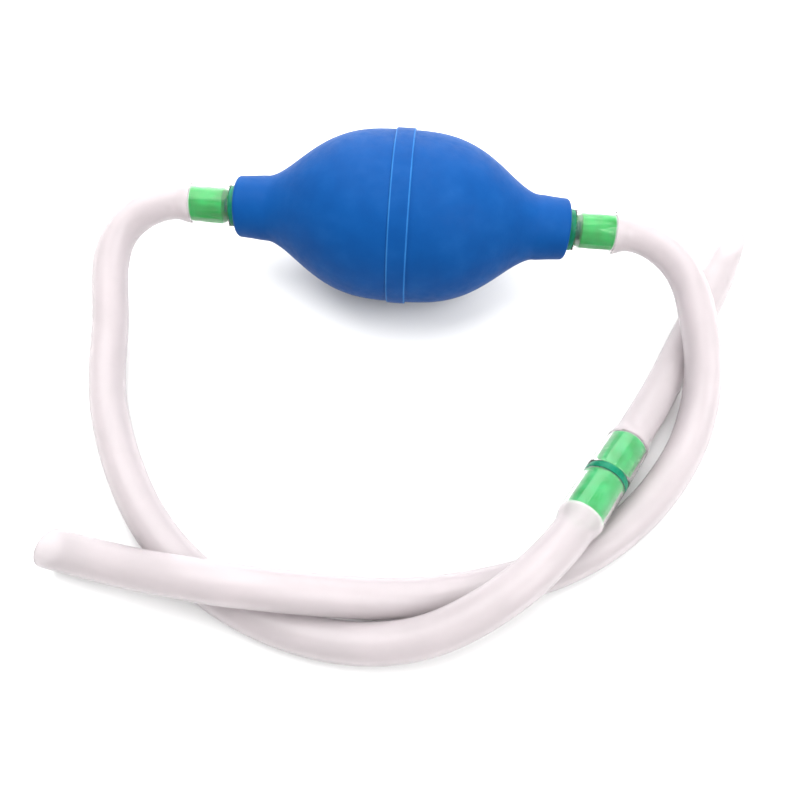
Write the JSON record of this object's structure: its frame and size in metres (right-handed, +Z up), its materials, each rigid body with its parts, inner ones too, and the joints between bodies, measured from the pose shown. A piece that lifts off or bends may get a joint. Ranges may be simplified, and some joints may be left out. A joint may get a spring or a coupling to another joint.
{
  "type": "siphon bulb pump",
  "caption": "Hand siphon pump: a rubber squeeze bulb with a ball check valve in each neck fitting, soft clear hoses and an in-line check valve.",
  "frame": {"origin": "on the table under the middle of the bulb", "axes": "+X along the bulb's axis from the inlet neck to the outlet neck, +Y away from the hose loops, +Z up"},
  "size_m": [0.2078, 0.1521, 0.0516],
  "materials": {
    "bulb_rubber": "matte blue rubber with a faint bloom",
    "valve_plastic": "glossy translucent green moulding",
    "valve_insert": "dark green moulding",
    "valve_ball": "polished",
    "hose_vinyl": "soft clear vinyl, slightly milky"
  },
  "bodies": {
    "pump": {"bulb_shell": "bulb_rubber", "inlet_fitting": "valve_plastic", "inlet_seat": "valve_insert", "inlet_cage": "valve_insert", "outlet_fitting": "valve_plastic", "outlet_seat": "valve_insert", "outlet_cage": "valve_insert", "inline_body": "valve_plastic", "inline_cap": "valve_plastic", "inline_seat": "valve_insert", "inline_cage": "valve_insert", "inlet_hose": "hose_vinyl", "suction_hose": "hose_vinyl", "suction_hose_end": "hose_vinyl", "outlet_hose": "hose_vinyl", "outlet_hose_end": "hose_vinyl"},
    "press_wall": {"bulb_press_wall": "bulb_rubber"},
    "inlet_valve_ball": {"inlet_ball": "valve_ball"},
    "outlet_valve_ball": {"outlet_ball": "valve_ball"},
    "inline_valve_ball": {"inline_ball": "valve_ball"}
  },
  "joints": [
    {"name": "bulb_squeeze", "type": "slide", "parent": "pump", "child": "press_wall", "axis": [0, 0, -1], "range_m": [0, 0.01], "stiffness_N_per_m": 1500},
    {"name": "inlet_ball_lift", "type": "slide", "parent": "pump", "child": "inlet_valve_ball", "axis": [1, 0, 0], "range_m": [0, 0.0015]},
    {"name": "outlet_ball_lift", "type": "slide", "parent": "pump", "child": "outlet_valve_ball", "axis": [1, 0, 0], "range_m": [0, 0.0015]},
    {"name": "inline_ball_lift", "type": "slide", "parent": "pump", "child": "inline_valve_ball", "axis": [-0.5183, -0.8295, 0.2079], "range_m": [0, 0.0015]}
  ]
}
